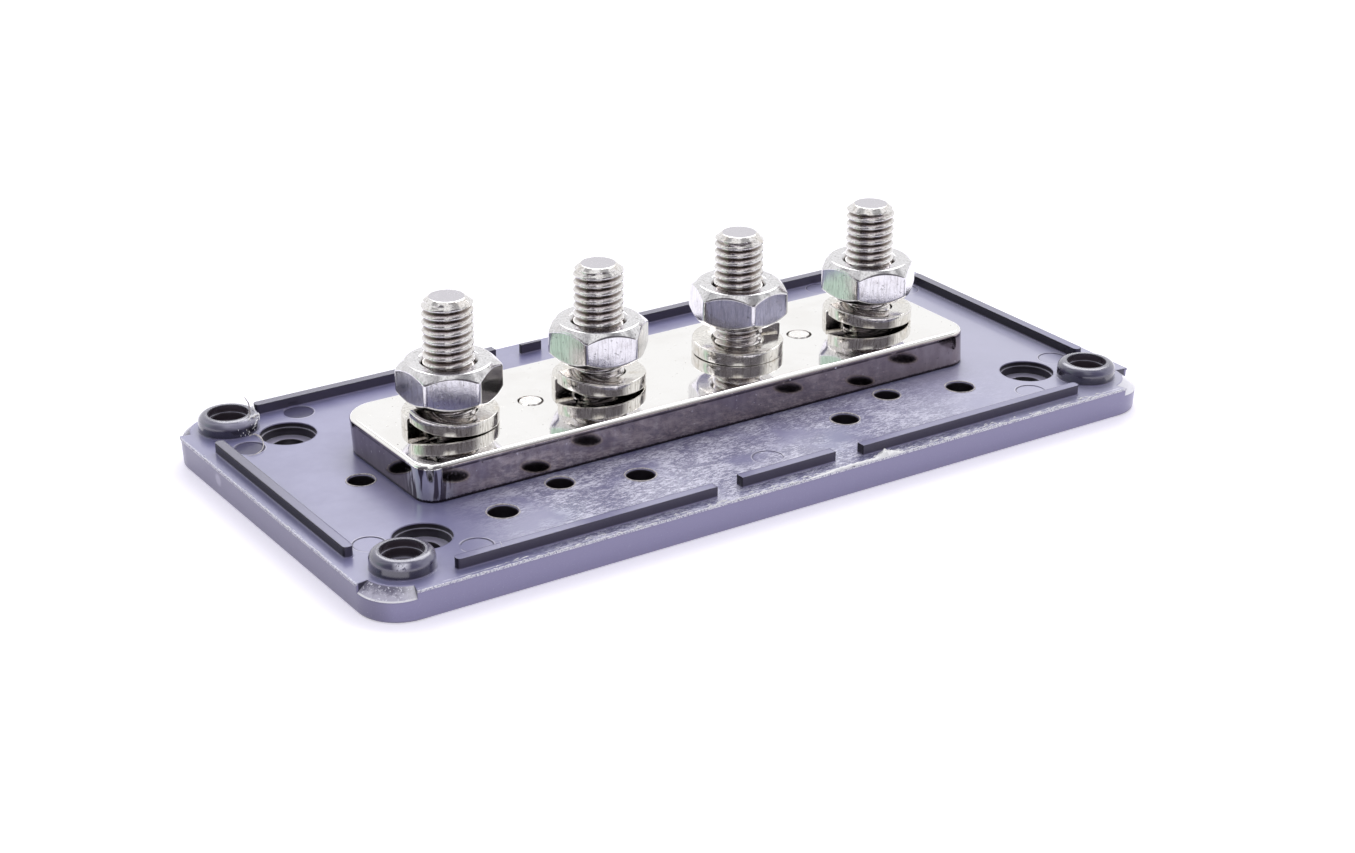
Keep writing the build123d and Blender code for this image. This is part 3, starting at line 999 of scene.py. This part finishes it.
        # Painted bounce light from the floor on the walls, with painted shade on walls turned left.
        wall = self.mix(self.span(self.fine, 0.35, 0.7), WALL_BOUNCE_DEEP, WALL_BOUNCE_PALE)
        wall = self.mix(self.leftward, wall, WALL_LEFT_SHADE)
        flecks = self.span(self.noise(4.5, 2.0, 0.5, offset=90.0), 0.66, 0.72, 0.0, 0.45)
        wall = self.mix(flecks, wall, WALL_FLECK)
        rubbed = self.near((LEFT_X + 0.2, 19.5, 3.6), 0.7, 0.9)
        return self.mix(self.math("MULTIPLY", rubbed, 0.6), wall, WALL_FLECK)

    def rib_and_boss_side(self):
        """Dark sides of ribs and bosses, with painted shade low on the bosses, painted sheen and a painted
        highlight spot on their rims, and painted shade and light on sides turned left and front.
        """
        side = self.mix(self.span(self.fine, 0.4, 0.7), SIDE_DEEP, SIDE_PALE)
        # Painted shade: the bosses' walls darker low down.
        boss_foot_shade = self.all_of(self.collar, self.span(self.z, 8.0, 7.4, 0.0, 0.7))
        side = self.mix(boss_foot_shade, side, BOSS_FOOT_SHADE)

        # Painted sheen on the bosses' rims, brightest on the rear left boss, with painted shade on rims
        # turned left.
        rear_left = self.near((-BOSS_X, BOSS_Y, 8.6), 7.0, 9.0)
        worn = self.mix(rear_left, RIM_SHEEN, RIM_REAR_LEFT_SHEEN)
        worn = self.mix(self.span(self.facing(0), -0.1, -0.7, 0.0, 0.65), worn, RIM_LEFTWARD_SHADE)
        # Painted highlight: a pale spot on the front left boss's rim.
        rubbed = self.all_of(self.near((-81.6, -40.2, 8.8), 0.5, 1.4), self.span(self.grain, 0.35, 0.55))
        worn = self.mix(rubbed, worn, GLINT_TONE)
        rim = self.all_of(self.collar, self.span(self.boss, 4.2, 4.3), self.span(self.z, 7.7, 8.4))
        side = self.mix(rim, side, worn)

        # Painted shade on sides turned left, painted light on sides turned to the front.
        side = self.mix(self.all_of(self.not_collar, self.leftward), side, SIDE_LEFT_SHADE)
        frontward = self.span(self.facing(1), -0.5, -0.9)
        return self.mix(self.all_of(self.not_collar, frontward, 0.5), side, SIDE_FRONT_LIGHT)

    def rib_and_boss_top(self):
        """Tops of ribs, darker towards the rear, and of bosses."""
        rib_top = self.mix(self.span(self.y, -34.0, 24.0), RIB_TOP_FRONT, RIB_TOP_REAR)
        return self.mix(self.collar, rib_top, BOSS_TOP_TONE)

    def holes(self, colour):
        """Painted shade on the walls of the counterbored holes, dark walls in the bosses' bores, and painted
        light on their ledges.
        """
        bore = self.all_of(self.span(self.boss, 4.15, 4.05), self.span(self.z, 9.1, 9.0))
        well = self.all_of(
            self.span(self.z, 5.82, 5.76), self.span(self.ax, 77.0, 76.5), self.span(self.ay, 33.5, 33.0)
        )
        # Painted shade on the hole walls, painted light on up-facing ledges.
        inside = self.mix(bore, WELL_SHADE, BORE_WALL)
        inside = self.mix(self.up, inside, HOLE_LEDGE_LIGHT)
        return self.mix(self.math("MAXIMUM", bore, well), colour, inside)

    def corner_scoops(self, colour):
        """Floors of the scoops with painted glints and a painted highlight towards +x, painted shade on
        their steep ends, and a thin painted highlight rim at the front corners.
        """
        wander = self.math("MULTIPLY", self.noise(0.9, 3.0, 0.6, offset=77.0), 3.0)
        outward = self.span(self.math("ADD", self.boss, wander), 9.2, 11.0)
        colour = self.mix(self.scoop, colour, self.mix(outward, SCOOP_DEEP, SCOOP_PALE))
        # Painted highlight towards +x, and painted glints as flecks.
        rightward = self.span(self.x, -84.0, -80.0, 0.0, 0.85)
        colour = self.mix(self.all_of(self.scoop, rightward), colour, SCOOP_RIGHT_HIGHLIGHT)
        flecks = self.span(self.noise(2.2, 3.0, 0.7, offset=15.0), 0.56, 0.66)
        colour = self.mix(self.all_of(self.scoop, flecks), colour, GLINT_TONE)

        # Painted shade on the steep ends and a painted highlight rim at the front corners.
        corner = self.ring(self.math("SUBTRACT", self.ax, CORNER_X), self.math("ADD", self.y, CORNER_Y))
        steep = self.span(self.tilt, 0.45, 0.3)
        low = self.span(self.z, BASE_TOP - 0.02, BASE_TOP - 0.12)
        end = self.all_of(self.span(corner, 8.0, 7.8), self.span(self.boss, 6.4, 6.6), low, steep)
        colour = self.mix(end, colour, SCOOP_END_SHADE)
        rim = self.all_of(self.scoop, self.span(corner, 7.85, 8.0), self.span(self.y, 0.0, -1.0))
        rim = self.all_of(rim, self.span(self.grain, 0.25, 0.45))
        return self.mix(rim, colour, LIP_HIGHLIGHT_OUTER)

    def front_lip(self, colour):
        """Broken painted highlight line along the rounded front and left edges, and a fainter painted
        highlight line inside it.
        """
        # Painted highlights along the edges, where the rounding catches light.
        left_edge = self.math("MULTIPLY", self.span(self.x, LEFT_X + 0.6, LEFT_X + 0.3), 0.6)
        edge = self.math("MAXIMUM", self.span(self.y, FRONT_Y + 0.4, FRONT_Y + 0.2), left_edge)
        broken = self.span(self.noise(2.8, 4.0, 0.8, offset=7.0), 0.44, 0.51)
        edge = self.all_of(edge, self.span(self.z, BASE_TOP - 0.5, BASE_TOP - 0.3), broken)
        colour = self.mix(edge, colour, LIP_HIGHLIGHT_OUTER)
        broken = self.span(self.noise(0.8, 4.0, 0.75, stretch=(0.4, 1.0, 1.0), offset=71.0), 0.44, 0.58)
        line = self.band(self.y, FRONT_Y + 1.2, FRONT_Y + 1.1, FRONT_Y + 0.9, FRONT_Y + 0.8)
        return self.mix(self.all_of(line, self.up, broken, 0.8), colour, LIP_HIGHLIGHT_INNER)

    def polish(self):
        """Gloss and fine relief: smooth on bosses and scoops, matt on ribs, rough where scuffed."""
        gloss = self.math("MAXIMUM", self.raised, self.scoop)
        gloss = self.math("MAXIMUM", gloss, self.all_of(self.stain, self.up))
        rough = self.math("ADD", self.all_of(self.up, self.span(self.grain, 0.3, 0.7, 0.0, 0.05)), 0.30)
        rough = self.math("ADD", rough, self.all_of(self.up, self.zone, self.scuff, 0.14))
        self.set(Roughness=self.math("SUBTRACT", rough, self.math("MULTIPLY", gloss, 0.10)), IOR=1.6)

        matt = self.all_of(self.raised, self.not_collar, self.span(self.up, 1.0, 0.0, 0.3, 1.0))
        matt = self.math("MAXIMUM", matt, self.math("MULTIPLY", self.stain, 0.8))
        self.set(Specular_IOR_Level=self.span(matt, 0.0, 1.0, 0.8, 0.22))
        self.set(Specular_Tint=(0.90, 0.89, 1.0, 1.0))
        coat = self.math("MAXIMUM", self.span(self.up, 0.0, 1.0, 0.10, 0.6), self.collar)
        self.set(Coat_Weight=self.math("MULTIPLY", coat, self.span(matt, 0.0, 1.0, 1.0, 0.12)))
        self.set(Coat_Roughness=0.16, Coat_IOR=1.5)

        edges = self.node("ShaderNodeBevel", {"Radius": 0.55 * MM}).outputs[0]
        skin = self.bump(self.noise(0.20, 2.0, 0.5, offset=8.0), 0.12, 0.08, edges)
        rub = self.math("ADD", self.grain, self.math("MULTIPLY", self.fine, 0.6))
        rub = self.math("MULTIPLY", rub, self.span(self.zone, 0.0, 1.0, 0.12, 1.0))
        self.set(Normal=self.bump(rub, 0.22, 0.03, skin))


def burr_plastic():
    """Paler edge where the mould has worn."""
    m = Mat("burr_plastic")
    fine = m.noise(2.0, 3.0, 0.7)
    m.set(Base_Color=m.mix(m.span(fine, 0.35, 0.65), (0.40, 0.37, 0.38), (0.75, 0.71, 0.70)))
    m.set(Roughness=m.span(fine, 0.3, 0.7, 0.3, 0.5))
    m.set(Normal=m.bump(fine, 0.3, 0.03))
    return m.mat


def torn_plastic():
    """Nearly white plastic where it was torn."""
    m = Mat("torn_plastic")
    fine = m.noise(5.0, 3.0, 0.7)
    m.set(Base_Color=m.mix(m.span(fine, 0.35, 0.65), (0.90, 0.89, 0.93), (0.99, 0.99, 1.0)))
    m.set(Roughness=m.span(fine, 0.3, 0.7, 0.35, 0.6))
    m.set(Normal=m.bump(fine, 0.5, 0.05))
    return m.mat


# Camera and surroundings, with directions and tones of what the metal mirrors

ROOM_WAY = (-0.53, -0.80, 0.28)
WINDOW_SIDE = (0.848, -0.530, 0.0)
CARD_WAY = (-0.853, 0.345, 0.391)
CEILING_TONE = (1.0, 1.0, 1.0)
PANEL_TONE = (0.15, 0.15, 0.16)
CARD_TONE = (0.64, 0.84, 0.70)
ROOM_TONE = (0.15, 0.14, 0.16)


def camera():
    """Camera in the place that was fitted to the photograph."""
    data = bpy.data.cameras.new("camera")
    data.sensor_width = SENSOR
    data.sensor_fit = "HORIZONTAL"
    data.lens = FOCAL_PX * SENSOR / PHOTO_WIDTH_PX
    data.clip_start = 0.01
    data.clip_end = 50.0
    obj = bpy.data.objects.new("camera", data)
    bpy.context.scene.collection.objects.link(obj)
    back = Vector(CAMERA_BACK).normalized()
    right = Vector(CAMERA_RIGHT)
    right = (right - back * right.dot(back)).normalized()
    up = back.cross(right)
    eye = Vector(CAMERA_PLACE) * MM
    obj.matrix_world = Matrix((
        (right.x, up.x, back.x, eye.x),
        (right.y, up.y, back.y, eye.y),
        (right.z, up.z, back.z, eye.z),
        (0, 0, 0, 1),
    ))
    bpy.context.scene.camera = obj


def floor_white():
    """Pale matt floor that reads as white to the camera and in reflections, but not under the base."""
    m = Mat("floor_white")
    paper = m.noise(0.02, 2.0, 0.5)
    m.set(Base_Color=m.mix(paper, (0.80, 0.79, 0.84), (0.82, 0.81, 0.86)))
    m.set(Roughness=0.7, Specular_IOR_Level=0.1)
    glow = m.node("ShaderNodeEmission", {"Color": (0.93, 0.90, 1.0, 1.0), "Strength": 0.45})
    path = m.node("ShaderNodeLightPath")
    seen = m.math("MAXIMUM", path.outputs["Is Camera Ray"], path.outputs["Is Glossy Ray"])
    seen = m.math("MAXIMUM", seen, path.outputs["Is Transmission Ray"])
    under_x = m.span(m.math("ABSOLUTE", m.axis(0)), 86.0, 82.0)
    under_y = m.span(m.math("ABSOLUTE", m.axis(1)), 41.0, 37.0)
    seen = m.math("MULTIPLY", seen, m.span(m.all_of(under_x, under_y), 1.0, 0.0))
    both = m.node("ShaderNodeAddShader", {0: m.shader.outputs[0], 1: glow.outputs[0]})
    pick = m.node("ShaderNodeMixShader", {0: seen, 1: m.shader.outputs[0], 2: both.outputs[0]})
    put(m.tree, m.tree.nodes["Material Output"], "Surface", pick.outputs[0])
    return m.mat


def floor():
    """Plain floor just under the base."""
    half_m = 3.0
    below_m = 0.00002
    corners = [(-half_m, -half_m, 0), (half_m, -half_m, 0), (half_m, half_m, 0), (-half_m, half_m, 0)]
    mesh = bpy.data.meshes.new("floor")
    mesh.from_pydata(corners, [], [(0, 1, 2, 3)])
    obj = bpy.data.objects.new("floor", mesh)
    bpy.context.scene.collection.objects.link(obj)
    obj.location.z = -below_m
    mesh.materials.append(floor_white())


def mirrored_room(tree):
    """What reflections see: a pale ceiling with panels, a green card, and a dark room with a window."""
    ray = new_node(tree, "ShaderNodeTexCoord").outputs["Generated"]
    height = new_node(tree, "ShaderNodeSeparateXYZ", {0: ray}).outputs[2]

    def towards(direction):
        """Cosine of the angle between the ray and a direction."""
        ins = {0: ray, 1: direction}
        return new_node(tree, "ShaderNodeVectorMath", ins, operation="DOT_PRODUCT").outputs["Value"]

    def calc(op, a, b=0.0, clamp=False):
        """One operation on two sockets or numbers, kept between 0 and 1 where clamp says so."""
        return new_node(tree, "ShaderNodeMath", {0: a, 1: b}, operation=op, use_clamp=clamp).outputs[0]

    ins = {"Vector": ray, "Scale": 2.6, "Detail": 1.0, "Roughness": 0.4}
    panels = new_node(tree, "ShaderNodeTexNoise", ins).outputs["Fac"]
    panels = smooth_step(tree, panels, 0.50, 0.58, 0.0, 0.65)
    panels = calc("MULTIPLY", smooth_step(tree, height, 0.5, 0.75), panels)
    tone = blend(tree, panels, CEILING_TONE, PANEL_TONE)
    card = smooth_step(tree, towards(CARD_WAY), 0.945, 0.99)
    tone = blend(tree, card, tone, CARD_TONE)

    across = calc("ABSOLUTE", towards(WINDOW_SIDE))
    window = calc("MULTIPLY", smooth_step(tree, across, 0.24, 0.14), smooth_step(tree, height, 0.45, 0.55))
    room = smooth_step(tree, towards(ROOM_WAY), 0.15, 0.65)
    return blend(tree, calc("SUBTRACT", room, window, clamp=True), tone, ROOM_TONE)


def world():
    """White for the camera, a softer white that lights the object, and a room for reflections."""
    studio = bpy.data.worlds.new("studio")
    studio.use_nodes = True
    tree = studio.node_tree
    soft = tree.nodes["Background"]
    soft.inputs["Color"].default_value = (0.98, 0.98, 1.0, 1.0)
    soft.inputs["Strength"].default_value = 0.72
    path = new_node(tree, "ShaderNodeLightPath")
    mirror = new_node(tree, "ShaderNodeBackground", {"Color": mirrored_room(tree), "Strength": 1.0})
    white = new_node(tree, "ShaderNodeBackground", {"Color": (1.0, 1.0, 1.0, 1.0), "Strength": 1.0})
    ins = {0: path.outputs["Is Glossy Ray"], 1: soft.outputs[0], 2: mirror.outputs[0]}
    lit = new_node(tree, "ShaderNodeMixShader", ins).outputs[0]
    ins = {0: path.outputs["Is Camera Ray"], 1: lit, 2: white.outputs[0]}
    seen = new_node(tree, "ShaderNodeMixShader", ins).outputs[0]
    put(tree, tree.nodes["World Output"], "Surface", seen)
    bpy.context.scene.world = studio


def key_softbox():
    """Soft light from the right, behind and above; its place and size are metres."""
    place = Vector((0.45, 0.55, 0.85))
    data = bpy.data.lights.new("key_softbox", "AREA")
    data.shape = "RECTANGLE"
    data.size = 0.9
    data.size_y = 0.7
    data.energy = 6.0
    obj = bpy.data.objects.new("key_softbox", data)
    bpy.context.scene.collection.objects.link(obj)
    obj.location = place
    obj.rotation_euler = (-place).to_track_quat("-Z", "Y").to_euler()


def main():
    """Builds the surroundings, dresses the solids and adds the visual pieces."""
    bpy.context.scene.view_settings.view_transform = "Standard"
    camera()
    world()
    floor()
    key_softbox()

    plastic = BasePlastic().mat
    plate = bar_plating()
    screw = screw_steel()
    bolt = stud_nickel()
    nut_mat = nut_nickel()
    ring = washer_nickel()
    burr = burr_plastic()
    torn = torn_plastic()

    dress = {"base_plate": plastic, "bus_bar": plate, "bar_screw_1": screw, "bar_screw_2": screw}
    for name, mat in dress.items():
        node = frame["nodes"][name]
        node.data.materials.clear()
        node.data.materials.append(mat)

    for i, x in enumerate(STUD_X):
        number = i + 1
        stud(number, x, STUD_TURN * i, bolt)
        nut(number, x, NUT_TURN[i], nut_mat)
        washer(number, x, WASHER_TURN[i], ring)

    hole_beads(burr)
    edge_chips(torn)
    torn_edge(torn)
    boss_flash(torn, burr)


main()
